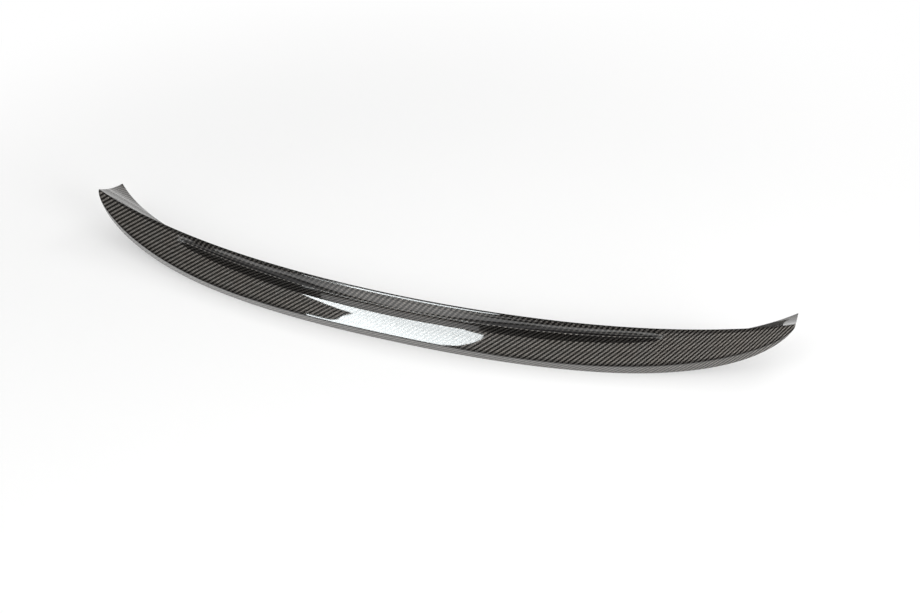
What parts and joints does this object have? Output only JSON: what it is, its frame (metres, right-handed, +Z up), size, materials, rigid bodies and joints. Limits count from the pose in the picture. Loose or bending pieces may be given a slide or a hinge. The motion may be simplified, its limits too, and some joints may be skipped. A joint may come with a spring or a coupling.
{
  "type": "car rear spoiler",
  "caption": "Woven carbon lip spoiler for a car's boot lid, with swept pointed ends, a long groove under its ridge and an open hollow underside.",
  "frame": {"origin": "middle of the bounding box, at the level of the lid or floor the spoiler stands on", "axes": "+X along the span to the right as seen from behind the car, +Y to the front of the car, +Z up"},
  "size_m": [1.2504, 0.2212, 0.089],
  "materials": {
    "woven_skin": "gloss clear coat over black twill-woven fibre"
  },
  "bodies": {
    "root": {"spoiler": "woven_skin"}
  },
  "joints": []
}
